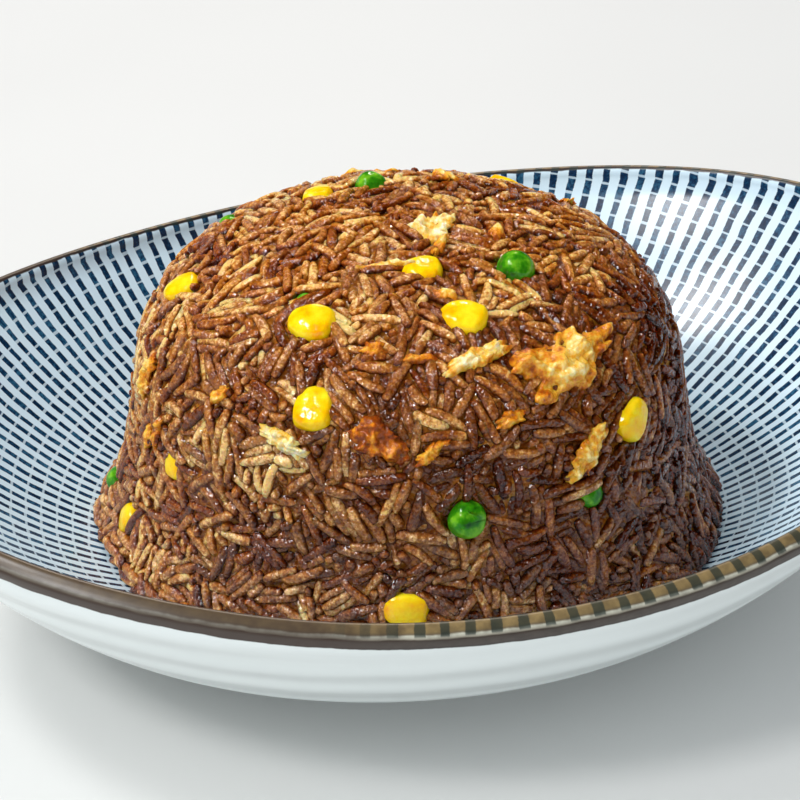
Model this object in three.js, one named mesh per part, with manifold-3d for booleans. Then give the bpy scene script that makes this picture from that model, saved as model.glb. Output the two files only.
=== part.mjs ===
// A plate of fried rice: a mound turned out of a rice bowl onto an oval dish, with corn,
// peas and scrambled egg pressed into it.
// Millimetres, +Z up. The origin is the middle of the dish's foot, on the table, and +X runs
// along the dish's long axis.
import * as THREE from 'three';
import { mergeVertices } from 'three/addons/utils/BufferGeometryUtils.js';
import Module from 'manifold-3d';

const wasm = await Module();
wasm.setup();

const DEGREE = Math.PI / 180;
const FULL_TURN = 2 * Math.PI;
const GOLDEN_ANGLE = Math.PI * (3 - Math.sqrt(5));
const GAP = 0.3; // clearance between pieces that rest on each other

// ---------------------------------------------------------------- driving dimensions

const dish = {
  halfLength: 108.7, // to the middle of the lip
  halfWidth: 85.4,
  ovalPower: 1.92, // 2 is a true ellipse
  sideHeight: 41.2, // middle of the lip, at the long sides
  endHeight: 49.6, // and at the raised ends
  endPower: 2.75, // how late the lip rises towards the ends
  lipRadius: 1.9,
  floorHeight: 5.0,
  wallPower: 3.07, // how late the inside curves up
  wallRise: 2.0, // the inside meets the lip this far above its middle
  footShare: 0.494, // foot ring as a share of the lip's outline
  footHeight: 5.0,
  footWidth: 3.2,
  footRecess: 1.6,
  undersidePower: 1.82,
  segments: 48,
};

const mound = {
  centre: new THREE.Vector2(-3.5, -0.6),
  radius: 51.7,
  baseHeight: 16.8, // where the side meets the dish, above the table
  height: 60.3,
  shoulderPower: 5.88, // squareness of the shoulder
  crownPower: 0.538, // and roundness of the crown
  footFlare: 7.0, // slumped grains round the foot
  flareHeight: 12.2,
  heartHeight: 44, // a point inside, from which every place on the mound is in plain sight
};

const core = {
  inset: 1.5, // how far the packed core lies under the mound's outer surface
  relief: 0.7,
  seatGap: 0.55,
  segments: 36,
  rings: 13,
};

const grain = {
  count: 268,
  length: 7.0,
  width: 2.2,
  sides: 5,
  sunk: 0.75, // depth of the grain's axis under the mound's outer surface
  steepest: 24 * DEGREE,
};

const cornKernel = { length: 9.4, width: 8.2, thickness: 5.6 };
const pea = { diameter: 7.6 };

// Where each topping lies: its bearing round the mound's axis (degrees from +X, anticlockwise)
// and how far down the surface it is from the crown. turn is its heading on the surface,
// lean dips its front end, sunk is how deep its middle lies, and size scales it.
const cornPlaces = [
  { bearing: 163, down: 44.7, turn: 80, lean: 10, sunk: 1.5, size: 0.9 },
  { bearing: -143.5, down: 34.4, turn: 12, lean: 0, sunk: 0.6, size: 1.08 },
  { bearing: -134, down: 50.6, turn: -85, lean: -18, sunk: 1.0, size: 1.02 },
  { bearing: -168.5, down: 71, turn: -80, lean: -10, sunk: 1.6, size: 0.74 },
  { bearing: -104, down: 17.2, turn: -15, lean: -5, sunk: 1.4, size: 0.9 },
  { bearing: -94.3, down: 31.6, turn: -40, lean: -8, sunk: 0.8, size: 1.04 },
  { bearing: -60.5, down: 61.8, turn: -144, lean: 0, sunk: 0.9, size: 0.98 },
  { bearing: -114, down: 87, turn: -10, lean: 0, sunk: 1.6, size: 0.98 },
  { bearing: 109, down: 25.3, turn: 40, lean: 0, sunk: 1.2, size: 0.8 },
  { bearing: 172, down: 91.5, turn: 70, lean: 0, sunk: 1.8, size: 0.8 },
  { bearing: 40, down: 47, turn: 20, lean: -6, sunk: 1.0, size: 1.0 },
  { bearing: 62, down: 59, turn: 75, lean: -5, sunk: 1.0, size: 1.03 },
  { bearing: 4, down: 71, turn: -35, lean: 0, sunk: 1.2, size: 0.95 },
  { bearing: 92, down: 80, turn: 10, lean: -8, sunk: 1.3, size: 0.98 },
  { bearing: 128, down: 64, turn: 50, lean: 0, sunk: 1.5, size: 0.92 },
  { bearing: 8, down: 54, turn: -60, lean: -6, sunk: 1.3, size: 0.93 },
];

const peaPlaces = [
  { bearing: -59, down: 24.8, sunk: 0.6, size: 1.0 },
  { bearing: -101.8, down: 70.4, sunk: 0.8, size: 1.0 },
  { bearing: -73.5, down: 72.6, sunk: 1.7, size: 0.85 },
  { bearing: 84, down: 23.2, sunk: 1.4, size: 0.95 },
  { bearing: 126, down: 42, sunk: 1.2, size: 0.85 },
  { bearing: 157, down: 91.5, sunk: 1.8, size: 0.85 },
  { bearing: -153, down: 28.5, sunk: 2.2, size: 0.8 },
  { bearing: 40, down: 82, sunk: 0.9, size: 1.0 },
  { bearing: 66, down: 77, sunk: 1.2, size: 0.95 },
  { bearing: 104, down: 54, sunk: 1.0, size: 1.0 },
  { bearing: 10, down: 86, sunk: 1.4, size: 0.9 },
];

// Egg is in torn flakes: length and width across the flake, height at its thickest.
const eggPlaces = [
  { bearing: -73.5, down: 46, turn: 5, length: 18.5, width: 12, height: 2.6, lobes: 3 },
  { bearing: -94.5, down: 41.2, turn: 18, length: 11.5, width: 4.6, height: 1.8, lobes: 2 },
  { bearing: -74.8, down: 63.5, turn: 50, length: 11, width: 4.4, height: 1.7, lobes: 2 },
  { bearing: 175, down: 60, turn: 80, length: 11.5, width: 3.6, height: 1.4, lobes: 2 },
  { bearing: 179.4, down: 70.5, turn: 84, length: 5.5, width: 3.4, height: 1.2, lobes: 2 },
  { bearing: -91, down: 53.2, turn: 4, length: 6.6, width: 2.8, height: 1.2, lobes: 2 },
  { bearing: -108.5, down: 57.4, turn: 30, length: 6.4, width: 3.0, height: 1.2, lobes: 2 },
  { bearing: -119.2, down: 55.3, turn: -28, length: 11.5, width: 7.2, height: 1.7, lobes: 3 },
  { bearing: -60, down: 5.6, turn: 15, length: 9.5, width: 7.2, height: 1.6, lobes: 3 },
  { bearing: -139, down: 57.8, turn: -14, length: 10.5, width: 3.2, height: 1.4, lobes: 2 },
  { bearing: -121.9, down: 38.3, turn: 0, length: 5.4, width: 3.0, height: 1.2, lobes: 2 },
  { bearing: 51, down: 24.5, turn: 20, length: 7.0, width: 4.4, height: 1.4, lobes: 2 },
  { bearing: 78, down: 43, turn: -25, length: 15, width: 9.5, height: 2.2, lobes: 3 },
  { bearing: 33, down: 67, turn: 35, length: 11, width: 5.5, height: 1.7, lobes: 2 },
  { bearing: 144, down: 77, turn: 65, length: 11, width: 5.0, height: 1.6, lobes: 2 },
  { bearing: 26, down: 84, turn: 70, length: 9, width: 5.0, height: 1.6, lobes: 3 },
];

// ---------------------------------------------------------------- materials

function finish(color, roughness) {
  return new THREE.MeshStandardMaterial({ color, roughness, metalness: 0 });
}

const glazedWhite = finish('#e9edf1', 0.12);
const soyBrown = finish('#8a5a30', 0.42);
const cornYellow = finish('#f2b01c', 0.28);
const peaGreen = finish('#4f9a1e', 0.3);
const eggYellow = finish('#e2ab52', 0.42);

// ---------------------------------------------------------------- small helpers

// A repeatable draw between 0 and 1, the same in every run.
function seededDraw(seed) {
  let state = seed;
  return () => {
    state = (state + 0x6d2b79f5) | 0;
    let mixed = Math.imul(state ^ (state >>> 15), 1 | state);
    mixed = (mixed + Math.imul(mixed ^ (mixed >>> 7), 61 | mixed)) ^ mixed;
    return ((mixed ^ (mixed >>> 14)) >>> 0) / 4294967296;
  };
}

function geometryOf(points, triangles) {
  const geometry = new THREE.BufferGeometry();
  const coordinates = points.flatMap((point) => [point.x, point.y, point.z]);
  geometry.setAttribute('position', new THREE.Float32BufferAttribute(coordinates, 3));
  geometry.setIndex(triangles);
  return geometry;
}

// Rings of equal length become one closed skin: walls between rings, and a fan at each end to
// the first and the last point. The rings run anticlockwise seen from the last point.
function closedSkin(firstPoint, rings, lastPoint) {
  const points = [firstPoint, ...rings.flat(), lastPoint];
  const count = rings[0].length;
  const at = (ring, step) => 1 + ring * count + (step % count);
  const last = points.length - 1;
  const triangles = [];
  for (let step = 0; step < count; step += 1) {
    triangles.push(0, at(0, step + 1), at(0, step));
    for (let ring = 0; ring + 1 < rings.length; ring += 1) {
      const [a, b] = [at(ring, step), at(ring, step + 1)];
      const [c, d] = [at(ring + 1, step), at(ring + 1, step + 1)];
      triangles.push(a, b, d, a, d, c);
    }
    triangles.push(last, at(rings.length - 1, step), at(rings.length - 1, step + 1));
  }
  return geometryOf(points, triangles);
}

function toSolid(geometry) {
  const bare = geometry.clone();
  bare.deleteAttribute('normal');
  bare.deleteAttribute('uv');
  const merged = mergeVertices(bare, 1e-4);
  const vertProperties = new Float32Array(merged.attributes.position.array);
  const triVerts = new Uint32Array(merged.index.array);
  return new wasm.Manifold(new wasm.Mesh({ numProp: 3, vertProperties, triVerts }));
}

// The largest connected skin of a solid. Leaving the others out drops loose scraps and fills
// any pocket that joined pieces close off.
function outerSkin(solid) {
  const { vertProperties, triVerts, numProp } = solid.getMesh();
  const parent = Array.from({ length: vertProperties.length / numProp }, (_, index) => index);
  const rootOf = (index) => {
    let root = index;
    while (parent[root] !== root) root = parent[root];
    parent[index] = root;
    return root;
  };
  for (let corner = 0; corner < triVerts.length; corner += 3) {
    const root = rootOf(triVerts[corner]);
    parent[rootOf(triVerts[corner + 1])] = root;
    parent[rootOf(triVerts[corner + 2])] = root;
  }
  const skins = new Map();
  for (let corner = 0; corner < triVerts.length; corner += 3) {
    const root = rootOf(triVerts[corner]);
    if (!skins.has(root)) skins.set(root, []);
    skins.get(root).push(triVerts[corner], triVerts[corner + 1], triVerts[corner + 2]);
  }
  const largest = [...skins.values()].sort((a, b) => b.length - a.length)[0];
  const used = new Map();
  const points = [];
  const triangles = largest.map((index) => {
    if (!used.has(index)) {
      used.set(index, points.length);
      const start = index * numProp;
      points.push(new THREE.Vector3(...vertProperties.slice(start, start + 3)));
    }
    return used.get(index);
  });
  return geometryOf(points, triangles);
}

// ---------------------------------------------------------------- the dish

function lipReach(angle) {
  const along = Math.abs(Math.cos(angle) / dish.halfLength) ** dish.ovalPower;
  const across = Math.abs(Math.sin(angle) / dish.halfWidth) ** dish.ovalPower;
  return (along + across) ** (-1 / dish.ovalPower);
}

function lipHeight(angle) {
  const rise = dish.endHeight - dish.sideHeight;
  return dish.sideHeight + rise * Math.abs(Math.cos(angle)) ** dish.endPower;
}

function dishPoint(angle, reach, height) {
  return new THREE.Vector3(reach * Math.cos(angle), reach * Math.sin(angle), height);
}

// Height of the dish's inside above the table, at any place under the food.
function insideHeight(x, y) {
  const angle = Math.atan2(y, x);
  const share = Math.hypot(x, y) / lipReach(angle);
  const rise = lipHeight(angle) + dish.wallRise - dish.floorHeight;
  return dish.floorHeight + rise * share ** dish.wallPower;
}

// Each entry gives one ring round the dish as a function of the angle, from the middle of the
// floor, up the inside, over the lip, down the outside and in under the foot.
function dishRows() {
  const rows = [];
  for (const share of [0.25, 0.45, 0.61, 0.75, 0.87, 0.955]) {
    rows.push((angle) => {
      const reach = share * (lipReach(angle) - dish.lipRadius);
      const [x, y] = [reach * Math.cos(angle), reach * Math.sin(angle)];
      return dishPoint(angle, reach, insideHeight(x, y));
    });
  }
  for (const turn of [165, 112, 60, 5].map((degrees) => degrees * DEGREE)) {
    rows.push((angle) => {
      const reach = lipReach(angle) + dish.lipRadius * Math.cos(turn);
      return dishPoint(angle, reach, lipHeight(angle) + dish.lipRadius * Math.sin(turn));
    });
  }
  for (const share of [0.93, 0.74, 0.5, 0.24, 0.03]) {
    rows.push((angle) => {
      const top = lipHeight(angle) - dish.lipRadius;
      const spread = dish.footShare + (1 - dish.footShare) * share;
      const height = dish.footHeight + (top - dish.footHeight) * share ** dish.undersidePower;
      return dishPoint(angle, spread * lipReach(angle) + dish.lipRadius, height);
    });
  }
  const footRows = [
    { inward: 0.5, height: 0.6 },
    { inward: 1.0, height: 0 },
    { inward: dish.footWidth, height: 0 },
    { inward: dish.footWidth + 0.6, height: dish.footRecess },
  ];
  for (const { inward, height } of footRows) {
    rows.push((angle) => {
      const reach = dish.footShare * lipReach(angle) + dish.lipRadius - inward;
      return dishPoint(angle, reach, height);
    });
  }
  return rows;
}

function makeDish() {
  const rings = dishRows().map((row) =>
    Array.from({ length: dish.segments }, (_, step) => row((-step * FULL_TURN) / dish.segments)),
  );
  const floor = new THREE.Vector3(0, 0, dish.floorHeight);
  const underside = new THREE.Vector3(0, 0, dish.footRecess);
  return closedSkin(floor, rings, underside);
}

// ---------------------------------------------------------------- the mound's outer surface

// The profile from the crown to the foot as a table of {down, reach, height, area}: a rounded
// drum, whose foot flares where grains have slumped.
const PROFILE_STEPS = 240;

function profileTable() {
  const table = [];
  for (let step = 0; step <= PROFILE_STEPS; step += 1) {
    const climb = 1 - (step / PROFILE_STEPS) ** 2;
    const rise = mound.height * climb;
    const drum = mound.radius * (1 - climb ** mound.shoulderPower) ** mound.crownPower;
    const flare = mound.footFlare * Math.exp(-rise / mound.flareHeight);
    const reach = step === 0 ? 0 : drum + flare;
    const before = table[step - 1];
    const height = mound.baseHeight + rise;
    const stride = before ? Math.hypot(reach - before.reach, height - before.height) : 0;
    const ringArea = before ? Math.PI * (reach + before.reach) * stride : 0;
    table.push({
      down: before ? before.down + stride : 0,
      area: before ? before.area + ringArea : 0,
      reach,
      height,
    });
  }
  return table;
}

const profile = profileTable();
const profileEnd = profile[PROFILE_STEPS];

// The profile at a given value of one of its columns, which grows down the table.
function profileWhere(column, value) {
  let step = 1;
  while (step < PROFILE_STEPS && profile[step][column] < value) step += 1;
  const [above, below] = [profile[step - 1], profile[step]];
  const share = (value - above[column]) / (below[column] - above[column]);
  const slope = Math.hypot(below.reach - above.reach, below.height - above.height);
  return {
    down: THREE.MathUtils.lerp(above.down, below.down, share),
    reach: THREE.MathUtils.lerp(above.reach, below.reach, share),
    height: THREE.MathUtils.lerp(above.height, below.height, share),
    outward: (above.height - below.height) / slope,
    upward: (below.reach - above.reach) / slope,
  };
}

// The foot isn't a true circle: it spreads in low lobes and slumps at the two ends.
function slump(bearing, height) {
  const lobes = 0.9 * Math.sin(3 * bearing + 0.8) + 0.6 * Math.sin(7 * bearing + 2.1);
  const rightSlump = 2.2 * Math.exp(-(((bearing + 0.45) / 0.5) ** 2));
  const leftSlump = 1.6 * Math.exp(-(((Math.abs(bearing) - 2.85) / 0.3) ** 2));
  const nearFoot = Math.exp(-(height - mound.baseHeight) / mound.flareHeight);
  return (lobes + rightSlump + leftSlump) * nearFoot;
}

// A point on the mound, or lifted off its surface, with the surface's own directions there.
function moundFrame(bearing, down, lift = 0) {
  const turned = Math.atan2(Math.sin(bearing), Math.cos(bearing));
  const { reach, height, outward, upward } = profileWhere('down', down);
  const away = new THREE.Vector3(Math.cos(turned), Math.sin(turned), 0);
  const normal = away.clone().multiplyScalar(outward).setZ(upward);
  const along = new THREE.Vector3(-away.y, away.x, 0);
  const downhill = new THREE.Vector3().crossVectors(along, normal);
  const point = away.clone().multiplyScalar(reach + slump(turned, height));
  point.add(new THREE.Vector3(mound.centre.x, mound.centre.y, height));
  return { point: point.addScaledVector(normal, lift), normal, along, downhill };
}

// The mound's surface in the direction of a nearby point, seen from the heart of the mound.
const profileByTilt = profile.map(({ down, reach, height }) => {
  return { down, tilt: Math.atan2(reach, height - mound.heartHeight) };
});

function moundBelow(near, lift) {
  const [x, y] = [near.x - mound.centre.x, near.y - mound.centre.y];
  const tilt = Math.atan2(Math.hypot(x, y), near.z - mound.heartHeight);
  const step = Math.max(1, profileByTilt.findIndex((entry) => entry.tilt >= tilt));
  const [above, below] = [profileByTilt[step - 1], profileByTilt[step]];
  const share = (tilt - above.tilt) / (below.tilt - above.tilt);
  return moundFrame(Math.atan2(y, x), THREE.MathUtils.lerp(above.down, below.down, share), lift);
}

// ---------------------------------------------------------------- the core

// Rice-sized unevenness of the packed core.
function coreRelief(bearing, down) {
  const across = Math.sin(11 * bearing + 0.35 * down) * Math.sin(0.42 * down + 5 * bearing);
  const along = Math.sin(17 * bearing - 0.27 * down + 1.3);
  return core.relief * (0.6 * across + 0.4 * along);
}

// The packed core of the heap, or with a lift the same shape grown by that much.
function coreSolid(lift) {
  const ringAt = (down, depth) =>
    Array.from({ length: core.segments }, (_, step) => {
      const bearing = (step * FULL_TURN) / core.segments - Math.PI;
      return moundFrame(bearing, down, depth(bearing)).point;
    });
  const rings = [];
  const foot = ringAt(profileEnd.down, () => lift - core.inset);
  for (const share of [0.45, 0.8, 1]) {
    rings.push(
      foot.map(({ x, y }) => {
        const spot = new THREE.Vector2(x, y).sub(mound.centre).multiplyScalar(share);
        spot.add(mound.centre);
        const seat = insideHeight(spot.x, spot.y) + core.seatGap - lift;
        return new THREE.Vector3(spot.x, spot.y, seat);
      }),
    );
  }
  for (let ring = 1; ring <= core.rings; ring += 1) {
    const share = 1 - ring / (core.rings + 1);
    const down = profileEnd.down * share ** 0.92;
    rings.push(ringAt(down, (bearing) => lift - core.inset + coreRelief(bearing, down)));
  }
  const { x, y } = mound.centre;
  const under = new THREE.Vector3(x, y, insideHeight(x, y) + core.seatGap - lift);
  const crown = moundFrame(0, 0, lift - core.inset).point;
  return toSolid(closedSkin(under, rings, crown));
}

// ---------------------------------------------------------------- toppings

// Points a local shape at a place on the mound: its x follows the heading, its z the normal.
function placed(geometry, { bearing, down, turn = 0, lean = 0, sunk = 0 }) {
  const { point, normal, along, downhill } = moundFrame(bearing * DEGREE, down, -sunk);
  const basis = new THREE.Matrix4().makeBasis(along, downhill.clone().negate(), normal);
  const heading = new THREE.Matrix4().makeRotationZ(turn * DEGREE);
  const tipped = new THREE.Matrix4().makeRotationY(lean * DEGREE);
  const matrix = basis.multiply(heading).multiply(tipped).setPosition(point);
  return geometry.applyMatrix4(matrix);
}

// A tooth-shaped kernel along x: broad domed crown at one end, narrow tip at the other.
function kernelGeometry({ size }) {
  const sides = 7;
  const stations = [
    { along: -0.36, wide: 0.5, thick: 0.56 },
    { along: 0.06, wide: 1, thick: 1 },
    { along: 0.38, wide: 0.84, thick: 0.8 },
  ];
  const rings = stations.map(({ along, wide, thick }) =>
    Array.from({ length: sides }, (_, side) => {
      const angle = (side * FULL_TURN) / sides;
      return new THREE.Vector3(
        along * cornKernel.length,
        0.5 * wide * cornKernel.width * Math.cos(angle),
        0.5 * thick * cornKernel.thickness * Math.sin(angle),
      );
    }),
  );
  const tip = new THREE.Vector3(-0.5 * cornKernel.length, 0, 0);
  const crown = new THREE.Vector3(0.5 * cornKernel.length, 0, 0);
  return closedSkin(tip, rings, crown).scale(size, size, size);
}

function peaGeometry({ size }) {
  const radius = (pea.diameter * size) / 2;
  return new THREE.SphereGeometry(radius, 7, 5).rotateX(Math.PI / 2).scale(1.04, 0.98, 0.96);
}

// A torn flake of egg that drapes over the mound: a lobed outline, ruffled on top.
function flakeGeometry(place, index) {
  const { bearing, down, turn, length, width, height, lobes } = place;
  const sides = length > 10 ? 10 : 7;
  const shares = length > 10 ? [1, 0.55] : [1];
  const start = moundFrame(bearing * DEGREE, down);
  const heading = turn * DEGREE;
  const outline = (angle) =>
    1 + 0.15 * Math.sin(lobes * angle + index) + 0.09 * Math.sin(5 * angle + 2 * index);
  const spot = (angle, share, lift) => {
    const spread = share * outline(angle);
    const x = 0.5 * length * spread * Math.cos(angle);
    const y = 0.5 * width * spread * Math.sin(angle);
    const near = start.point.clone();
    near.addScaledVector(start.along, x * Math.cos(heading) - y * Math.sin(heading));
    near.addScaledVector(start.downhill, -x * Math.sin(heading) - y * Math.cos(heading));
    return moundBelow(near, lift).point;
  };
  const around = (share, lift) =>
    Array.from({ length: sides }, (_, side) => {
      const angle = (side * FULL_TURN) / sides;
      return spot(angle, share, lift(angle));
    });
  const ruffle = (angle, share) => 0.35 * Math.sin(3 * angle + 4 * share + index);
  const root = -core.inset - core.relief - 2 * GAP;
  const rings = [around(0.9, () => root)];
  for (const share of shares) {
    const crown = share === 1 ? 0.35 : 1 - 0.45 * share * share;
    rings.push(around(share, (angle) => height * (crown + ruffle(angle, share) * (1 - 0.6 * share))));
  }
  return closedSkin(spot(0, 0, root), rings, spot(0, 0, height));
}

function seatOnCore(geometry, grownCore) {
  return outerSkin(toSolid(geometry).subtract(grownCore));
}

// ---------------------------------------------------------------- the rice

// A rice grain along x: blunt spindle with few sides.
function grainGeometry(length, width) {
  const rings = [-0.3, 0.3].map((along) =>
    Array.from({ length: grain.sides }, (_, side) => {
      const angle = (side * FULL_TURN) / grain.sides;
      const radius = 0.52 * width;
      return new THREE.Vector3(along * length, radius * Math.cos(angle), radius * Math.sin(angle));
    }),
  );
  const ends = [-0.5, 0.5].map((along) => new THREE.Vector3(along * length, 0, 0));
  return closedSkin(ends[0], rings, ends[1]);
}

// A grain crosses a topping where it comes nearer than the gap that resting pieces keep.
function crossesTopping(roomyGrain, toppings) {
  roomyGrain.computeBoundingBox();
  const near = toppings.filter(({ box }) => box.intersectsBox(roomyGrain.boundingBox));
  if (near.length === 0) return false;
  const solid = toSolid(roomyGrain);
  return near.some((topping) => !solid.intersect(topping.solid).isEmpty());
}

function reachesDish(geometry) {
  const position = geometry.attributes.position;
  for (let index = 0; index < position.count; index += 1) {
    const [x, y, z] = [position.getX(index), position.getY(index), position.getZ(index)];
    if (z < insideHeight(x, y) + 2 * GAP) return true;
  }
  return false;
}

// Grains spread evenly over the mound: equal steps of area down the profile, each turned on
// by the golden angle, with seeded headings, tilts and lengths.
function layGrains(toppings) {
  const draw = seededDraw(20417);
  const grains = [];
  for (let index = 0; index < grain.count; index += 1) {
    const area = ((index + 0.5) / grain.count) * profileEnd.area;
    const { down } = profileWhere('area', area);
    const length = grain.length * (0.86 + 0.24 * draw());
    const width = grain.width * (0.9 + 0.2 * draw());
    const place = {
      bearing: (index * GOLDEN_ANGLE) / DEGREE,
      down,
      turn: 180 * draw(),
      lean: (grain.steepest / DEGREE) * (2 * draw() - 1),
      sunk: grain.sunk + 0.5 * (draw() - 0.5),
    };
    const geometry = placed(grainGeometry(length, width), place);
    const roomyGrain = placed(grainGeometry(length + 3 * GAP, width + 3 * GAP), place);
    if (!reachesDish(geometry) && !crossesTopping(roomyGrain, toppings)) grains.push(geometry);
  }
  return grains;
}

function makeRice(toppingGeometries) {
  const toppings = toppingGeometries.map((geometry) => {
    geometry.computeBoundingBox();
    return { box: geometry.boundingBox, solid: toSolid(geometry) };
  });
  let heap = coreSolid(0);
  for (const geometry of layGrains(toppings)) heap = heap.add(toSolid(geometry));
  return outerSkin(heap);
}

// ---------------------------------------------------------------- the whole plate

const grownCore = coreSolid(GAP);
const toppingPieces = [
  ...cornPlaces.map((place, index) => ({
    name: `corn_${index + 1}`,
    geometry: seatOnCore(placed(kernelGeometry(place), place), grownCore),
    material: cornYellow,
  })),
  ...peaPlaces.map((place, index) => ({
    name: `pea_${index + 1}`,
    geometry: seatOnCore(placed(peaGeometry(place), place), grownCore),
    material: peaGreen,
  })),
  ...eggPlaces.map((place, index) => ({
    name: `egg_${index + 1}`,
    geometry: seatOnCore(flakeGeometry(place, index), grownCore),
    material: eggYellow,
  })),
];

const plateOfRice = new THREE.Group();

function addPiece(name, geometry, material) {
  const mesh = new THREE.Mesh(geometry, material.clone());
  mesh.name = name;
  plateOfRice.add(mesh);
}

addPiece('dish', makeDish(), glazedWhite);
addPiece('rice', makeRice(toppingPieces.map((piece) => piece.geometry)), soyBrown);
for (const { name, geometry, material } of toppingPieces) addPiece(name, geometry, material);

export default plateOfRice;
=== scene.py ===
"""A plate of fried rice: a mound turned out of a rice bowl onto a deep oval dish, with corn,
peas and egg in it. Shapes are worked out in millimetres and made in metres."""

import math
import random

import bmesh
import bpy
import numpy as np
from mathutils import Matrix, Vector, noise
from mathutils.kdtree import KDTree


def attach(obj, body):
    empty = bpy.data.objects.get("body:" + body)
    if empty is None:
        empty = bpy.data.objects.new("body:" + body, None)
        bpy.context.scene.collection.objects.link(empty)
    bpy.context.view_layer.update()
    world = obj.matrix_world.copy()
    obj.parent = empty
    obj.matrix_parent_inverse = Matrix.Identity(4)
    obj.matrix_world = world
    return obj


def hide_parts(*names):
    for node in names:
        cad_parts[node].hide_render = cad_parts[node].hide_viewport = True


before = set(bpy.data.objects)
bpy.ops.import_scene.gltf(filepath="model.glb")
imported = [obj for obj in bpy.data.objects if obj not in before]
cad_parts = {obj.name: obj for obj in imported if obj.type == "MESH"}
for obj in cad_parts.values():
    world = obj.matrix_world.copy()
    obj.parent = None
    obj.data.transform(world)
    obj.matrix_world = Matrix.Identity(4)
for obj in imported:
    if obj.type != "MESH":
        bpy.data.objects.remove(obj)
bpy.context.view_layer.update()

MM = 0.001
FULL_TURN = 2 * math.pi
GOLDEN_ANGLE = math.pi * (3 - math.sqrt(5))

# ---- sizes, in millimetres

HALF_LENGTH = 108.7  # of the dish, to the middle of its lip
HALF_WIDTH = 85.4
OVAL_POWER = 1.92
SIDE_HEIGHT = 41.2
END_HEIGHT = 49.6
END_POWER = 2.75
LIP_RADIUS = 1.9
LIP_SLANT = 0.4  # the lip's top leans outward by this share
FLOOR_HEIGHT = 5.0
WALL_POWER = 3.07
WALL_RISE = 2.0  # the inside meets the lip this far above its middle
FOOT_SHARE = 0.494
FOOT_HEIGHT = 5.0
FOOT_WIDTH = 3.2
FOOT_RECESS = 1.6
FOOT_SECTION = (  # how far in from the foot's outside, and height
    (0.15, 3.6), (0.3, 1.6), (0.55, 0.5), (1.1, 0.0), (FOOT_WIDTH - 0.5, 0.0),
    (FOOT_WIDTH, 0.4), (FOOT_WIDTH + 0.5, FOOT_RECESS))
RECESS_SHARES = (0.414, 0.23, 0.0)  # rings under the dish, as shares of the lip's reach
UNDERSIDE_POWER = 1.82
DISH_STEPS = 192

MOUND_X = -3.5
MOUND_Y = -0.6
MOUND_RADIUS = 51.7
MOUND_BASE = 16.8
MOUND_HEIGHT = 60.3
SHOULDER_POWER = 5.88
CROWN_POWER = 0.538
FOOT_FLARE = 7.0
FLARE_HEIGHT = 12.2
PROFILE_STEPS = 240

DASH_LINES = 152
DASH_PITCH = 3.35
FIRST_DASH = 2.2  # where the first ring of dashes starts, below the lip

# ---- making pieces


def put_in_scene(name, bm, material):
    """Turns a mesh into an object of one material."""
    mesh = bpy.data.meshes.new(name)
    bm.to_mesh(mesh)
    bm.free()
    mesh.materials.append(material)
    thing = bpy.data.objects.new(name, mesh)
    bpy.context.scene.collection.objects.link(thing)
    return thing


def finish_piece(name, bm, material, replaces):
    """Turns a mesh in millimetres into a smooth piece in metres that rides on the plate."""
    bmesh.ops.scale(bm, vec=(MM, MM, MM), verts=bm.verts)
    piece = put_in_scene(name, bm, material)
    piece.data.polygons.foreach_set("use_smooth", [True] * len(piece.data.polygons))
    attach(piece, "root")
    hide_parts(*replaces)
    return piece


def add_values(piece, name, values):
    """Stores one number for each vertex, which a material can read by name."""
    layer = piece.data.attributes.new(name, "FLOAT", "POINT")
    layer.data.foreach_set("value", np.asarray(values, dtype=np.float32))


def round_off(piece):
    """Rounds a piece's facets by one step of subdivision."""
    rounder = piece.modifiers.new("rounder", "SUBSURF")
    rounder.levels = rounder.render_levels = 1


def spun_rings(rows, steps):
    """A round body of rings, one unit above the other, that closes to a point at both ends."""
    bm = bmesh.new()
    section = [bm.verts.new((1.0 if 0 < row < rows - 1 else 0.0, 0.0, float(row)))
               for row in range(rows)]
    edges = [bm.edges.new(pair) for pair in zip(section, section[1:])]
    bmesh.ops.spin(bm, geom=section + edges, axis=(0, 0, 1), cent=(0, 0, 0), angle=FULL_TURN,
                   steps=steps, use_merge=True)
    bmesh.ops.remove_doubles(bm, verts=bm.verts, dist=1e-4)
    return bm


def row_and_step(vertex, steps):
    """Which ring of a spun body a vertex is on, and how many steps round it."""
    turn = math.atan2(vertex.co.y, vertex.co.x) / FULL_TURN
    return round(vertex.co.z), round(turn * steps) % steps


# ---- building materials


def paint(code):
    """The linear colour of a #rrggbb code."""
    shares = [int(code[start:start + 2], 16) / 255 for start in (1, 3, 5)]
    linear = [s / 12.92 if s <= 0.04045 else ((s + 0.055) / 1.055) ** 2.4 for s in shares]
    return (*linear, 1.0)


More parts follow.
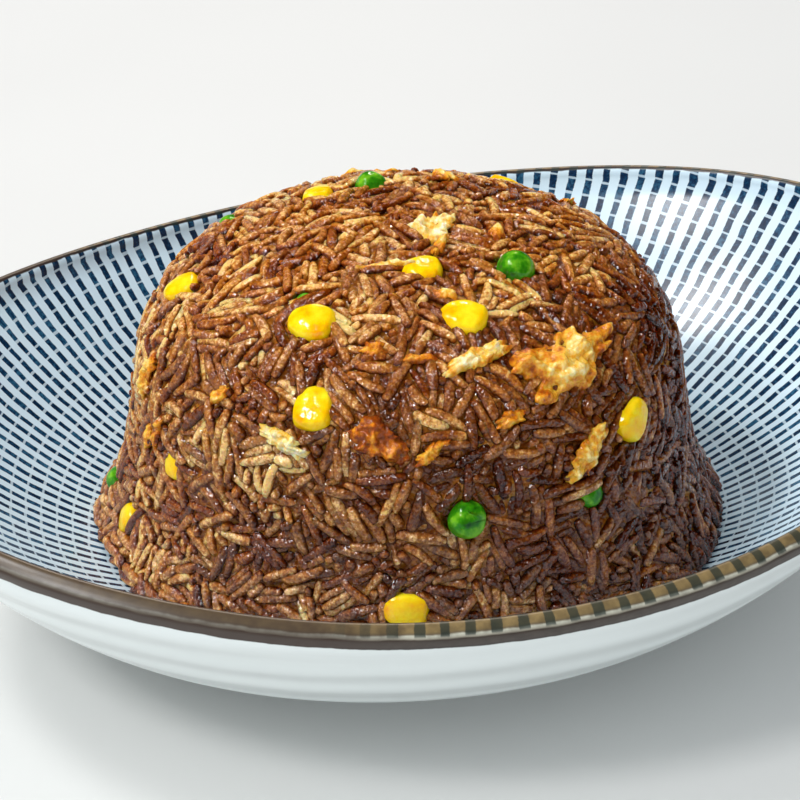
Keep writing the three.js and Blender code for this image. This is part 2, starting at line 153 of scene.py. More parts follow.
class Finish:
    """A material with one Principled shader, and short calls for the nodes that feed it."""

    def __init__(self, name, **plain):
        self.material = bpy.data.materials.new(name)
        self.material.use_nodes = True
        self.tree = self.material.node_tree
        self.shader = self.tree.nodes["Principled BSDF"]
        in_metres = self.add("ShaderNodeTexCoord").outputs["Object"]
        scaling = {"Vector": in_metres, "Scale": (1 / MM,) * 3}
        self.place = self.add("ShaderNodeMapping", scaling).outputs[0]
        self.set(**plain)

    def set(self, **plain):
        """Sets the shader's inputs by name, each to a value, a colour code or another node."""
        for key, value in plain.items():
            self.feed(self.shader, key.replace("_", " ").title().replace("Ior", "IOR"), value)

    def feed(self, node, socket, value):
        target = node.inputs[socket]
        if isinstance(value, bpy.types.NodeSocket):
            self.tree.links.new(value, target)
        elif isinstance(value, str):
            target.default_value = paint(value)
        else:
            target.default_value = value

    def add(self, kind, inputs=None, **settings):
        node = self.tree.nodes.new(kind)
        for key, value in settings.items():
            setattr(node, key, value)
        for socket, value in (inputs or {}).items():
            self.feed(node, socket, value)
        return node

    def calc(self, operation, *values, clamp=False):
        inputs = dict(enumerate(values))
        return self.add("ShaderNodeMath", inputs, operation=operation, use_clamp=clamp).outputs[0]

    def times(self, one, other):
        return self.calc("MULTIPLY", one, other)

    def sway(self, base, size, chance):
        """Moves a value by up to half a size either way, as a chance from 0 to 1 has it."""
        return self.calc("MULTIPLY_ADD", self.calc("SUBTRACT", chance, 0.5), size, base)

    def from_middle(self, place):
        """How far a place lies from the middle of its unit cell: 0 there and 1 at the edge."""
        off = self.calc("SUBTRACT", self.calc("FRACT", place), 0.5)
        return self.calc("ABSOLUTE", self.times(off, 2.0))

    def spread(self, value, low, high, to_low=0.0, to_high=1.0, kind="LINEAR"):
        """Maps a value from one range to another, and holds it at both ends."""
        inputs = {0: value, 1: low, 2: high, 3: to_low, 4: to_high}
        return self.add("ShaderNodeMapRange", inputs, interpolation_type=kind).outputs[0]

    def blend(self, share, low, high):
        node = self.add("ShaderNodeMix", data_type="RGBA")
        for socket, value in ((0, share), (6, low), (7, high)):
            self.feed(node, socket, value)
        return node.outputs[2]

    def ramp(self, value, *stops):
        """A colour for each value from 0 to 1, from stops of position and colour code."""
        node = self.add("ShaderNodeValToRGB", {0: value})
        elements = node.color_ramp.elements
        while len(elements) < len(stops):
            elements.new(0.5)
        for element, (position, code) in zip(elements, stops):
            element.position = position
            element.color = paint(code)
        return node.outputs[0]

    def cloud(self, scale, detail=3.0, rough=0.5):
        """Soft noise from 0 to 1, with so many waves to a millimetre."""
        inputs = {"Vector": self.place, "Scale": scale, "Detail": detail, "Roughness": rough}
        return self.add("ShaderNodeTexNoise", inputs).outputs[0]

    def value_of(self, name):
        return self.add("ShaderNodeAttribute", attribute_name=name).outputs["Fac"]

    def bump(self, height, depth, strength=1.0, under=None):
        """Relief whose height runs from 0 to 1 over a depth in millimetres."""
        inputs = {"Height": height, "Distance": depth * MM, "Strength": strength}
        if under:
            inputs["Normal"] = under
        return self.add("ShaderNodeBump", inputs).outputs[0]

    def wrinkle(self, *layers):
        """Relief on skin and coat, in layers of cloud: scale, detail, depth and strength."""
        relief = None
        for scale, detail, depth, strength in layers:
            relief = self.bump(self.cloud(scale, detail), depth, strength, under=relief)
        self.set(normal=relief, coat_normal=relief)


# ---- the dish


def lip_reach(angle):
    """How far out the middle of the lip lies: an oval a little more pointed than an ellipse."""
    along = np.abs(np.cos(angle) / HALF_LENGTH) ** OVAL_POWER
    across = np.abs(np.sin(angle) / HALF_WIDTH) ** OVAL_POWER
    return (along + across) ** (-1 / OVAL_POWER)


def lip_height(angle):
    """Height of the middle of the lip, which rises towards the two ends."""
    return SIDE_HEIGHT + (END_HEIGHT - SIDE_HEIGHT) * np.abs(np.cos(angle)) ** END_POWER


def inside_height(x, y):
    """Height of the dish's inside over the table."""
    angle = np.arctan2(y, x)
    share = np.hypot(x, y) / lip_reach(angle)
    return FLOOR_HEIGHT + (lip_height(angle) + WALL_RISE - FLOOR_HEIGHT) * share ** WALL_POWER


def dish_section(angles):
    """The dish's section from the middle of its floor, over the lip and round under the foot:
    each entry gives reach and height at all the angles."""
    lip, top = lip_reach(angles), lip_height(angles)
    level = np.ones(len(angles))
    rows = []
    for share in np.linspace(0, 1, 36):
        reach = share * (lip - LIP_RADIUS)
        rows.append((reach, inside_height(reach * np.cos(angles), reach * np.sin(angles))))
    for turn in range(173, -10, -15):
        out, up = math.cos(math.radians(turn)), math.sin(math.radians(turn))
        rows.append((lip + LIP_RADIUS * out, top + LIP_RADIUS * (up * (1 - LIP_SLANT * out))))
    for share in np.linspace(0.965, 0.0, 26):
        reach = (FOOT_SHARE + (1 - FOOT_SHARE) * share) * lip + LIP_RADIUS
        climb = (top - LIP_RADIUS - FOOT_HEIGHT) * share ** UNDERSIDE_POWER
        rows.append((reach, FOOT_HEIGHT + climb))
    for inward, height in FOOT_SECTION:
        rows.append((FOOT_SHARE * lip + LIP_RADIUS - inward, height * level))
    for share in RECESS_SHARES:
        rows.append((share * lip, FOOT_RECESS * level))
    return np.array(rows)


def make_dish(material):
    """Rings are spun round, then each is drawn out to the oval and to its place in the section."""
    angles = np.arange(DISH_STEPS) * FULL_TURN / DISH_STEPS
    section = dish_section(angles)
    reach, height = section[:, 0], section[:, 1]
    bm = spun_rings(len(section), DISH_STEPS)
    strides = np.hypot(np.diff(reach, axis=0), np.diff(height, axis=0))
    swept = np.vstack([np.zeros(DISH_STEPS), np.cumsum(strides, axis=0)])
    swept = swept[height[:, 0].argmax()] - swept
    # the rings of dashes keep their distance from the middle more than from the lip
    drift = 0.9 * (lip_reach(angles) - HALF_WIDTH)
    from_lip, ring_place = [], []
    for vertex in bm.verts:
        row, step = row_and_step(vertex, DISH_STEPS)
        angle = angles[step]
        distance = reach[row, step]
        vertex.co = (distance * math.cos(angle), distance * math.sin(angle), height[row, step])
        from_lip.append(swept[row, step])
        ring_place.append(swept[row, step] - drift[step])
    bmesh.ops.recalc_face_normals(bm, faces=bm.faces)
    piece = finish_piece("oval_dish", bm, material, ["dish"])
    add_values(piece, "from_lip", from_lip)
    add_values(piece, "ring_place", ring_place)


def painted_dashes(g, x, y, from_lip):
    """Blue dashes in lines that run out from the middle. Returns how thick the paint lies, its
    colour, and where the lines would run on past their last dash."""
    angle = g.calc("ARCTAN2", y, x)
    line_place = g.times(angle, DASH_LINES / FULL_TURN)
    # the lines stand wider apart along the near side than at the two ends
    for wave, turn, size in ((1, 1.97, 3.0), (2, 0.0, 1.3)):
        swing = g.calc("SINE", g.calc("MULTIPLY_ADD", angle, float(wave), -turn))
        line_place = g.calc("MULTIPLY_ADD", swing, size, line_place)
    line_place = g.calc("ADD", g.sway(line_place, 0.34, g.cloud(0.11, 1.0)), 500.5)
    line = g.calc("FLOOR", line_place)
    line_chance = g.add("ShaderNodeTexWhiteNoise", {"W": line}, noise_dimensions="1D").outputs[0]
    below_first = g.calc("SUBTRACT", g.value_of("ring_place"), FIRST_DASH)
    dash_place = g.calc("DIVIDE", below_first, DASH_PITCH)
    dash_place = g.calc("ADD", g.calc("MULTIPLY_ADD", line_chance, 0.12, dash_place), 100.0)
    which = g.add("ShaderNodeCombineXYZ", {0: line, 1: g.calc("FLOOR", dash_place)}).outputs[0]
    draws = g.add("ShaderNodeTexWhiteNoise", {"Vector": which}, noise_dimensions="3D").outputs
    drawn = g.add("ShaderNodeSeparateColor", {0: draws["Color"]}).outputs
    edge = g.cloud(1.1, 3.0, 0.6)
    wide = g.sway(g.spread(drawn[0], 0, 1, 0.38, 0.45), 0.16, edge)
    long = g.sway(g.spread(drawn[1], 0, 1, 0.8, 0.92), 0.12, edge)
    to_side = g.calc("SUBTRACT", wide, g.from_middle(line_place))
    to_end = g.calc("SUBTRACT", long, g.from_middle(dash_place))
    in_line = g.spread(to_side, -0.05, 0.05, kind="SMOOTHSTEP")
    in_dash = g.times(in_line, g.spread(to_end, -0.06, 0.06, kind="SMOOTHSTEP"))
    thickness = g.calc("MAXIMUM", in_dash, g.times(in_line, 0.3))
    reach = g.calc("SQRT", g.calc("ADD", g.times(x, x), g.times(y, y)))
    on_wall = g.times(g.spread(from_lip, -1.9, -1.6), g.spread(reach, 18.0, 20.0))
    wash = g.times(g.cloud(1.3, 3.0, 0.6), 0.8)
    wash = g.calc("MULTIPLY_ADD", drawn[2], 0.2, wash)
    blue = g.ramp(wash, (0.35, "#06233f"), (0.5, "#0d3354"), (0.68, "#2a6080"))
    return g.times(thickness, on_wall), blue, in_line


def iron_lip(g, x, from_lip, in_line):
    """Iron glaze: dark where it breaks over the lip's edge, thin and tan along its top, with a pale
    line painted along its rounded outer edge as a highlight. Returns where it lies and its colour."""
    band = g.sway(from_lip, 0.7, g.cloud(0.25, 3.0))
    inner_side = g.spread(band, 0.7, 1.05, 1.0, 0.0, "SMOOTHSTEP")
    outer_side = g.spread(band, -5.8, -5.4, 0.0, 1.0, "SMOOTHSTEP")
    # the pale stops from 0.41 to 0.47 are a painted highlight: a line of reflected light along the
    # lip's rounded outer edge
    brown = g.ramp(g.spread(band, -5.6, 0.9), (0.0, "#241c18"), (0.12, "#4a423c"),
                   (0.36, "#40362e"), (0.41, "#a8a494"), (0.47, "#c0c0b0"), (0.52, "#6e6048"),
                   (0.58, "#857048"), (0.84, "#8a744c"), (0.92, "#3a2a24"), (1.0, "#2b1c1a"))
    stain = g.times(g.spread(g.cloud(0.5, 4.0), 0.35, 0.7), 0.5)
    brown = g.blend(stain, brown, "#2c211b")
    # it runs thick and even to the left, and thin over the ends of the blue lines to the right
    thin = g.spread(x, -52.0, -36.0)
    brown = g.blend(g.spread(thin, 0, 1, 0.75, 0.0), brown, "#3e3028")
    marks = g.times(in_line, g.spread(from_lip, -3.0, -2.6, 0.0, 0.8))
    brown = g.blend(g.times(marks, thin), brown, "#22302c")
    return g.times(inner_side, outer_side), brown


def glazed_porcelain():
    """White glaze with blue dashes inside, an iron-brown lip, a thrown outside and a bare foot."""
    g = Finish("glazed_porcelain", ior=1.5)
    x, y, z = g.add("ShaderNodeSeparateXYZ", {0: g.place}).outputs
    from_lip = g.value_of("from_lip")
    # the white inside is bluish: partly the glaze's own tint, partly a painted cool tint of the
    # sky-lit shade it lies in
    bluish = g.ramp(g.cloud(0.03, 2.0), (0.3, "#d1e7f5"), (0.7, "#d8edf7"))
    white = g.blend(g.spread(from_lip, -1.0, 1.0), "#e8f0f0", bluish)
    paint_thickness, blue, in_line = painted_dashes(g, x, y, from_lip)
    surface = g.blend(paint_thickness, white, blue)
    on_lip, brown = iron_lip(g, x, from_lip, in_line)
    surface = g.blend(on_lip, surface, brown)
    bare = g.times(g.spread(z, 0.25, 0.6, 1.0, 0.0), g.spread(from_lip, -60.0, -70.0))
    g.set(base_color=g.blend(bare, surface, "#cfc4b4"))
    g.set(roughness=g.calc("MULTIPLY_ADD", bare, 0.49, g.spread(on_lip, 0, 1, 0.26, 0.34)))
    waves = {"Vector": g.place, "Scale": 0.035, "Distortion": 1.2}
    ridges = g.add("ShaderNodeTexWave", waves, bands_direction="Z").outputs["Fac"]
    relief = g.bump(ridges, 0.5, g.spread(from_lip, -6.0, -4.0, 0.8, 0.0))
    g.set(normal=g.bump(g.cloud(0.06, 2.0), 0.5, 0.12, under=relief))
    return g.material


# ---- the mound's skin


def mound_profile():
    """Reach, height and distance down the surface, from the crown to the foot."""
    climb = 1 - (np.arange(PROFILE_STEPS + 1) / PROFILE_STEPS) ** 2
    rise = MOUND_HEIGHT * climb
    reach = MOUND_RADIUS * (1 - climb ** SHOULDER_POWER) ** CROWN_POWER
    reach = reach + FOOT_FLARE * np.exp(-rise / FLARE_HEIGHT)
    reach[0] = 0.0
    height = MOUND_BASE + rise
    down = np.concatenate([[0.0], np.cumsum(np.hypot(np.diff(reach), np.diff(height)))])
    return reach, height, down


REACH, HEIGHT, DOWN = mound_profile()


def slump(bearing, height):
    """How far the foot spreads past a true circle."""
    lobes = 0.9 * np.sin(3 * bearing + 0.8) + 0.6 * np.sin(7 * bearing + 2.1)
    right = 2.2 * np.exp(-(((bearing + 0.45) / 0.5) ** 2))
    left = 1.6 * np.exp(-(((np.abs(bearing) - 2.85) / 0.3) ** 2))
    return (lobes + right + left) * np.exp(-(height - MOUND_BASE) / FLARE_HEIGHT)


def skin_frame(bearing, down, lift=0.0):
    """A place on the mound's skin with its own directions: the place itself, straight out,
    along the skin, and down the slope."""
    bearing = np.arctan2(np.sin(bearing), np.cos(bearing))
    reach, height = np.interp(down, DOWN, REACH), np.interp(down, DOWN, HEIGHT)
    ahead, behind = np.minimum(down + 0.4, DOWN[-1]), np.maximum(down - 0.4, 0.0)
    run = np.interp(ahead, DOWN, REACH) - np.interp(behind, DOWN, REACH)
    drop = np.interp(behind, DOWN, HEIGHT) - np.interp(ahead, DOWN, HEIGHT)
    size = np.hypot(run, drop)
    away = np.stack([np.cos(bearing), np.sin(bearing), 0 * bearing], axis=-1)
    up = np.array([0.0, 0.0, 1.0])
    outward = away * (drop / size)[..., None] + up * (run / size)[..., None]
    along = np.stack([-np.sin(bearing), np.cos(bearing), 0 * bearing], axis=-1)
    downhill = np.cross(along, outward)
    point = away * (reach + slump(bearing, height))[..., None]
    point = point + np.array([MOUND_X, MOUND_Y, 0.0]) + up * height[..., None]
    return point + outward * lift, outward, along, downhill


class Skin:
    """Depth under the mound's skin anywhere near it, read from a grid over reach and height."""

    STEP = 0.5

    def __init__(self):
        self.reach = np.arange(0.0, 80.0, self.STEP)
        self.height = np.arange(0.0, 95.0, self.STEP)
        grid = np.stack(np.meshgrid(self.reach, self.height, indexing="ij"), axis=-1)
        rim = np.stack([REACH, HEIGHT], axis=-1)
        start, stride = rim[:-1], np.diff(rim, axis=0)
        from_start = grid[:, :, None, :] - start
        share = (from_start * stride).sum(-1) / (stride ** 2).sum(-1)
        gap = from_start - np.clip(share, 0, 1)[..., None] * stride
        distance = np.sqrt((gap ** 2).sum(-1)).min(-1)
        edge = np.interp(-self.height, -HEIGHT, REACH)
        outside = (self.reach[:, None] > edge) | (self.height[None, :] > HEIGHT[0])
        self.depth = np.where(outside, -distance, distance)
        self.slope = np.stack(np.gradient(-self.depth, self.STEP), axis=-1)

    def look(self, points):
        """Depth under the skin and the direction straight out, for an array of points."""
        x, y, z = points[:, 0] - MOUND_X, points[:, 1] - MOUND_Y, points[:, 2]
        bearing = np.arctan2(y, x)
        reach = np.hypot(x, y) - slump(bearing, np.maximum(z, MOUND_BASE))
        column = np.clip(reach / self.STEP, 0, len(self.reach) - 1.001)
        row = np.clip(z / self.STEP, 0, len(self.height) - 1.001)
        i, j = column.astype(int), row.astype(int)
        a, b = (column - i)[:, None], (row - j)[:, None]
        fields = np.concatenate([self.depth[..., None], self.slope], axis=-1)
        found = ((1 - a) * (1 - b) * fields[i, j] + a * (1 - b) * fields[i + 1, j]
                 + (1 - a) * b * fields[i, j + 1] + a * b * fields[i + 1, j + 1])
        outward = np.stack([np.cos(bearing) * found[:, 1], np.sin(bearing) * found[:, 1],
                            found[:, 2]], axis=-1)
        outward /= np.maximum(np.linalg.norm(outward, axis=1, keepdims=True), 1e-6)
        return found[:, 0], outward


skin = Skin()

# ---- the rice grains

GRAIN_SHAPES = 6
GRAIN_LAYERS = ((0.8, 2500), (2.0, 2300), (3.4, 1700))  # depth under the skin, and how many
GRAIN_LENGTH = 8.1
GRAIN_WIDTH = 2.25
SHARE_ASTRAY = 0.25  # of the grains that lie across their bundle
SHARE_STANDING = 0.13
SHARE_BROKEN = 0.16
SETTLING_ROUNDS = 50
LOOK_AGAIN = 8  # rounds until each grain's neighbours are looked up again
NEIGHBOUR_REACH = 8.2
CLOSENESS = 0.72  # of two grains' radii: nearer than this they push
DEEPEST = 6.2  # a grain's end under the skin


def grain_mesh(draw):
    """One cooked grain, a unit long along x: a blunt rod with rounded ends, a little bent."""
    bm = bmesh.new()
    bmesh.ops.create_uvsphere(bm, u_segments=8, v_segments=7, radius=1.0)
    bmesh.ops.rotate(bm, verts=bm.verts, matrix=Matrix.Rotation(math.pi / 2, 3, "Y"))
    bend = draw.uniform(-0.3, 0.36)
    slimmer = draw.uniform(-0.16, 0.16)
    flat = draw.uniform(0.84, 1.0)
    wobble = Vector((draw.uniform(0, 50), 0, 0))
    for vertex in bm.verts:
        x, y, z = vertex.co
        ring = math.hypot(y, z)
        if ring > 1e-6:
            fuller = ring ** 0.5 / ring * (1 + slimmer * x)
            fuller *= 1 + 0.22 * noise.noise(vertex.co * 1.3 + wobble)
            y, z = y * fuller, z * fuller * flat
        x = math.copysign(abs(x) ** 0.82, x)
        vertex.co = (0.5 * x, 0.5 * y, 0.5 * z + 0.9 * bend * (x * x - 0.35))
    mesh = bpy.data.meshes.new("grain_shape")
    bm.to_mesh(mesh)
    bm.free()
    return mesh


def lay_grains(draw):
    """Rough first places: layer by layer, even in area, in bundles that share a heading.
    Returns the two ends of each grain's axis, and the grains' radii."""
    ring_area = math.pi * (REACH[1:] + REACH[:-1]) * np.diff(DOWN)
    area = np.concatenate([[0.0], np.cumsum(ring_area)])
    ends, radii = [], []
    for depth, count in GRAIN_LAYERS:
        for index in range(count):
            down = np.interp((index + 0.5) / count * area[-1], area, DOWN)
            bearing = index * GOLDEN_ANGLE + depth
            point, outward, along, downhill = skin_frame(np.array(bearing), np.array(down), -depth)
            spot = Vector(point) / 13.0
            drift_along = noise.noise(spot)
            drift_down = noise.noise(spot + Vector((7.3, 2.9, 5.1)))
            heading = math.atan2(drift_down, drift_along) + draw.gauss(0, 0.6)
            if draw.random() < SHARE_ASTRAY:
                heading = draw.uniform(0, math.pi)
            lean = draw.gauss(0, 0.34)
            if draw.random() < SHARE_STANDING:
                lean = draw.uniform(0.6, 1.45)
            flat = along * math.cos(heading) + downhill * math.sin(heading)
            axis = flat * math.cos(lean) + outward * math.sin(lean)
            width = GRAIN_WIDTH * draw.uniform(0.88, 1.12)
            length = GRAIN_LENGTH * draw.uniform(0.78, 1.2)
            if draw.random() < SHARE_BROKEN:
                length *= draw.uniform(0.45, 0.75)
            half = 0.5 * (length - width)
            point = point - outward * max(0.0, half * abs(math.sin(lean)) - 0.4)
            ends.append((point - axis * half, point + axis * half))
            radii.append(0.5 * width)
    return np.round(np.array(ends), 3), np.array(radii)


def near_pairs(middles, reach):
    """The pairs of grains whose middles lie within reach of each other."""
    tree = KDTree(len(middles))
    for index, middle in enumerate(middles):
        tree.insert(middle, index)
    tree.balance()
    pairs = []
    for index, middle in enumerate(middles):
        pairs += [(index, other) for _, other, _ in tree.find_range(middle, reach) if other > index]
    return np.array(pairs).T


def closest_shares(start_a, run_a, start_b, run_b):
    """Where along two segments they come closest, as shares of their lengths."""
    gap = start_a - start_b
    aa, bb = (run_a ** 2).sum(1), (run_b ** 2).sum(1)
    ab, ag, bg = (run_a * run_b).sum(1), (run_a * gap).sum(1), (run_b * gap).sum(1)
    across = np.maximum(aa * bb - ab ** 2, 1e-3)
    share_a = np.clip((ab * bg - ag * bb) / across, 0, 1)
    share_b = np.clip((ab * share_a + bg) / bb, 0, 1)
    share_a = np.clip((ab * share_b - ag) / aa, 0, 1)
    return share_a, share_b


def push_apart(ends, radii, pairs, moves):
    """Adds to the moves of the grains' ends what drives overlapping grains apart."""
    one, other = pairs
    run_a, run_b = ends[one, 1] - ends[one, 0], ends[other, 1] - ends[other, 0]
    share_a, share_b = closest_shares(ends[one, 0], run_a, ends[other, 0], run_b)
    gap = ends[one, 0] + run_a * share_a[:, None] - ends[other, 0] - run_b * share_b[:, None]
    distance = np.maximum(np.linalg.norm(gap, axis=1), 1e-4)
    overlap = CLOSENESS * (radii[one] + radii[other]) - distance
    hit = overlap > 0
    push = gap[hit] / distance[hit, None] * (0.45 * overlap[hit, None])
    for grain, share, sign in ((one[hit], share_a[hit], 1), (other[hit], share_b[hit], -1)):
        np.add.at(moves[:, 0], grain, sign * push * (1.35 - share)[:, None])
        np.add.at(moves[:, 1], grain, sign * push * (0.35 + share)[:, None])


def pressed(points, radii, proud):
    """One end of each grain, pressed out to the mould and kept off the dish."""
    depth, outward = skin.look(points)
    too_high = np.maximum(radii * 0.95 - proud * 0.6 - depth, 0)
    too_deep = np.maximum(depth - DEEPEST, 0)
    press = 0.05 * (depth > radii + 0.3)
    points = points + outward * (press + 0.5 * too_deep - too_high)[:, None]
    floor = inside_height(points[:, 0], points[:, 1]) + radii
    points[:, 2] = np.maximum(points[:, 2], floor)
    return points


def settle_grains(ends, radii, draw, keep_out):
    """Presses the grains out against the mould, and pushes apart those that overlap."""
    lengths = np.linalg.norm(ends[:, 1] - ends[:, 0], axis=1)
    proud = np.array([draw.uniform(-0.6, 0.9) for _ in radii])
    for settling in range(SETTLING_ROUNDS):
        if settling % LOOK_AGAIN == 0:
            pairs = near_pairs(ends.mean(axis=1), NEIGHBOUR_REACH)
        moves = np.zeros_like(ends)
        push_apart(ends, radii, pairs, moves)
        ends = ends + np.clip(moves, -0.6, 0.6)
        for end in (0, 1):
            ends[:, end] = pressed(ends[:, end], radii, proud)
        for centre, radius in keep_out:
            clear_ball(ends, radii, centre, radius)
        middle = ends.mean(axis=1)
        run = ends[:, 1] - ends[:, 0]
        run *= (0.5 * lengths / np.maximum(np.linalg.norm(run, axis=1), 1e-4))[:, None]
        # rounded, so that last-digit differences can't grow
        ends = np.round(np.stack([middle - run, middle + run], axis=1), 3)
    return ends


def clear_ball(ends, radii, centre, radius):
    """Moves grains off a topping, which counts as a ball here."""
    near = np.nonzero(np.linalg.norm(ends.mean(axis=1) - centre, axis=1) < radius + 6.0)[0]
    start, run = ends[near, 0], ends[near, 1] - ends[near, 0]
    share = np.clip(((centre - start) * run).sum(1) / (run ** 2).sum(1), 0, 1)
    gap = start + run * share[:, None] - centre
    distance = np.maximum(np.linalg.norm(gap, axis=1), 1e-4)
    push = np.maximum(radius + 0.8 * radii[near] - distance, 0)
    ends[near] += (0.6 * gap / distance[:, None] * push[:, None])[:, None, :]


def grain_places(ends, radii, draw):
    """A matrix for each grain, which turns and stretches a unit grain into its place."""
    _, outwards = skin.look(ends.mean(axis=1))
    places = []
    for (start, end), radius, outward in zip(ends, radii, outwards):
        run = Vector(end - start)
        axis = run.normalized()
        side = Vector(outward).cross(axis)
        side = side.normalized() if side.length > 1e-3 else axis.orthogonal().normalized()
        roll = Matrix.Rotation(draw.gauss(1.2, 0.8), 3, axis)
        up = roll @ axis.cross(side)
        side = roll @ side
        length = run.length + 2 * radius
        matrix = Matrix((axis * length, side * 2 * radius, up * 2 * radius)).transposed().to_4x4()
        matrix.translation = Vector((start + end) / 2)
        places.append(matrix)
    return places


PALE_SPOT = Vector(skin_frame(np.radians(-141), np.array(64.0))[0])  # grains that took no sauce
PALE_REACH = 6.0


def soy_and_painted_light_shares(middles, draw):
    """How dark and how red each grain is: fried darker by bundle and by chance, and by place on the
    mound, where painted light makes the top and left flank paler and painted shade the right flank
    darker.
    """
    shares = []
    for x, y, z in middles:
        middle = Vector((x, y, z))
        bearing = math.atan2(y - MOUND_Y, x - MOUND_X)
        top = min(max((z - 58.0) / 14.0, 0.0), 1.0)
        right = max(math.cos(bearing + 0.35), 0.0) ** 2
        left = max(math.cos(bearing - 2.9), 0.0) ** 3
        patch = noise.noise(middle / 9.0) + 0.6 * noise.noise(middle / 4.0)
        # painted light and shade: paler on top and on the lit left flank, darker on the shaded
        # right flank
        dark = 0.46 - 0.12 * top + (0.24 * right - 0.12 * left) * (1 - top)
        dark += 0.26 * patch + draw.gauss(0, 0.08)
        dark -= 0.4 * math.exp(-((middle - PALE_SPOT).length / PALE_REACH) ** 2)
        red_patch = noise.noise(middle / 7.0 + Vector((9, 4, 2)))
        red = 0.35 + 0.4 * top + 0.25 * left + 0.4 * red_patch + draw.gauss(0, 0.1)
        shares.append((min(max(dark, 0.0), 0.85), min(max(red, 0.0), 1.0)))
    return np.array(shares)


# the kinds run by darkness, which holds painted light and shade as well as soy
GRAIN_KINDS = ("rice_pale", "rice_tan", "rice_brown", "rice_dark")  # equal numbers of each


def make_rice(material, keep_out):
    """All loose grains, in one piece for each kind, from the palest to the darkest."""
    draw = random.Random(52417)
    ends, radii = lay_grains(draw)
    ends = settle_grains(ends, radii, draw, keep_out)
    places = grain_places(ends, radii, draw)
    shares = soy_and_painted_light_shares(ends.mean(axis=1), draw)
    shapes = [grain_mesh(draw) for _ in range(GRAIN_SHAPES)]
    corners = len(shapes[0].vertices)
    by_darkness = np.argsort(shares[:, 0])
    pieces = []
    for name, chosen in zip(GRAIN_KINDS, np.array_split(by_darkness, len(GRAIN_KINDS))):
        bm = bmesh.new()
        for i in chosen:
            copy = shapes[i % GRAIN_SHAPES].copy()
            copy.transform(places[i])
            bm.from_mesh(copy)
            bpy.data.meshes.remove(copy)
        bm.normal_update()
        depth, outward = skin.look(np.array([vertex.co for vertex in bm.verts]))
        normals = np.array([vertex.normal for vertex in bm.verts])
        piece = finish_piece(name, bm, material, ["rice"])
        # the soy values carry painted light and shade by place on the mound as well as soy; depth
        # and crest drive painted shade and highlights in the finish
        add_values(piece, "soy", np.repeat(shares[chosen, 0], corners))
        add_values(piece, "red", np.repeat(shares[chosen, 1], corners))
        add_values(piece, "depth", depth)
        add_values(piece, "crest", (normals * outward).sum(axis=1))
        pieces.append(piece)
    return pieces


def fried_rice():
    """Soy-stained, oiled rice: pale on a grain's crest, partly as a painted highlight, and darker
    on its sides and deeper down, partly soy run between and partly painted shade.
    """
    g = Finish("fried_rice", roughness=0.45, specular_ior_level=0.0, subsurface_weight=0.85,
               subsurface_scale=0.0016, subsurface_radius=(1.0, 0.45, 0.12), coat_weight=0.8,
               coat_roughness=0.1, coat_ior=2.0)
    dark, red, depth, crest = (g.value_of(name) for name in ("soy", "red", "depth", "crest"))
    tone = g.sway(dark, 0.8, g.cloud(0.32, 3.0, 0.55))
    tone = g.sway(tone, 0.8, g.cloud(1.6, 3.0, 0.6))
    # painted highlight and shade: paler where a grain faces out from the mound, darker on the sides
    # turned to its neighbours, partly soy run between
    tone = g.calc("ADD", tone, g.spread(crest, 0.0, 0.9, 0.48, -0.05, "SMOOTHSTEP"))
    # painted shade in the crevices: darker the deeper a point lies under the mound's skin, partly
    # soy pooled there
    tone = g.calc("ADD", tone, g.spread(depth, 0.6, 3.2, -0.05, 0.3), clamp=True)
    # the palest stops stand partly for painted highlights on the crests of pale grains
    tan = g.ramp(tone, (0.0, "#ecc48c"), (0.2, "#a4723e"), (0.4, "#74451e"), (0.6, "#52260a"),
                 (0.8, "#3c1402"), (1.0, "#2c0b00"))
    reddish = g.ramp(tone, (0.0, "#f4be68"), (0.2, "#b86e1e"), (0.4, "#853c05"), (0.6, "#602002"),
                     (0.8, "#461001"), (1.0, "#320900"))
    g.set(base_color=g.blend(red, tan, reddish))
    g.wrinkle((0.6, 1.0, 1.0, 1.0), (1.5, 1.0, 0.5, 1.0))
    return g.material


FILM_STEPS = 480
FILM_ROWS = 150
FILM_BLUR = 0.7
FILM_SINK = 0.42  # of the sauce film under the blurred tops of the grains
FILM_SWING = 0.6  # how much higher or lower it lies from patch to patch
CORE_UNDER = (0.8, 0.5, 0.0)  # rings that close the core underneath, as shares of its foot
CORE_CLEARANCE = 0.4  # over the dish
OVER_GRAINS = 3.0  # where the rays that find the grains' tops start
DEEPEST_GAP = 4.0


def grain_tops(pieces, bearings, downs):
    """How deep the first grain lies under each place of a net over the skin."""
    bpy.context.view_layer.update()
    tops = np.full((len(downs), len(bearings)), DEEPEST_GAP)
    for row, down in enumerate(downs):
        spots, outwards, _, _ = skin_frame(bearings, np.full(len(bearings), down), OVER_GRAINS)
        for step, (spot, outward) in enumerate(zip(spots * MM, outwards)):
            start, inward = Vector(spot), -Vector(outward)
            for piece in pieces:
                hit, place, _, _ = piece.ray_cast(start, inward, distance=8 * MM)
                if hit:
                    top = (place - start).length / MM - OVER_GRAINS
                    tops[row, step] = min(tops[row, step], top)
    return tops


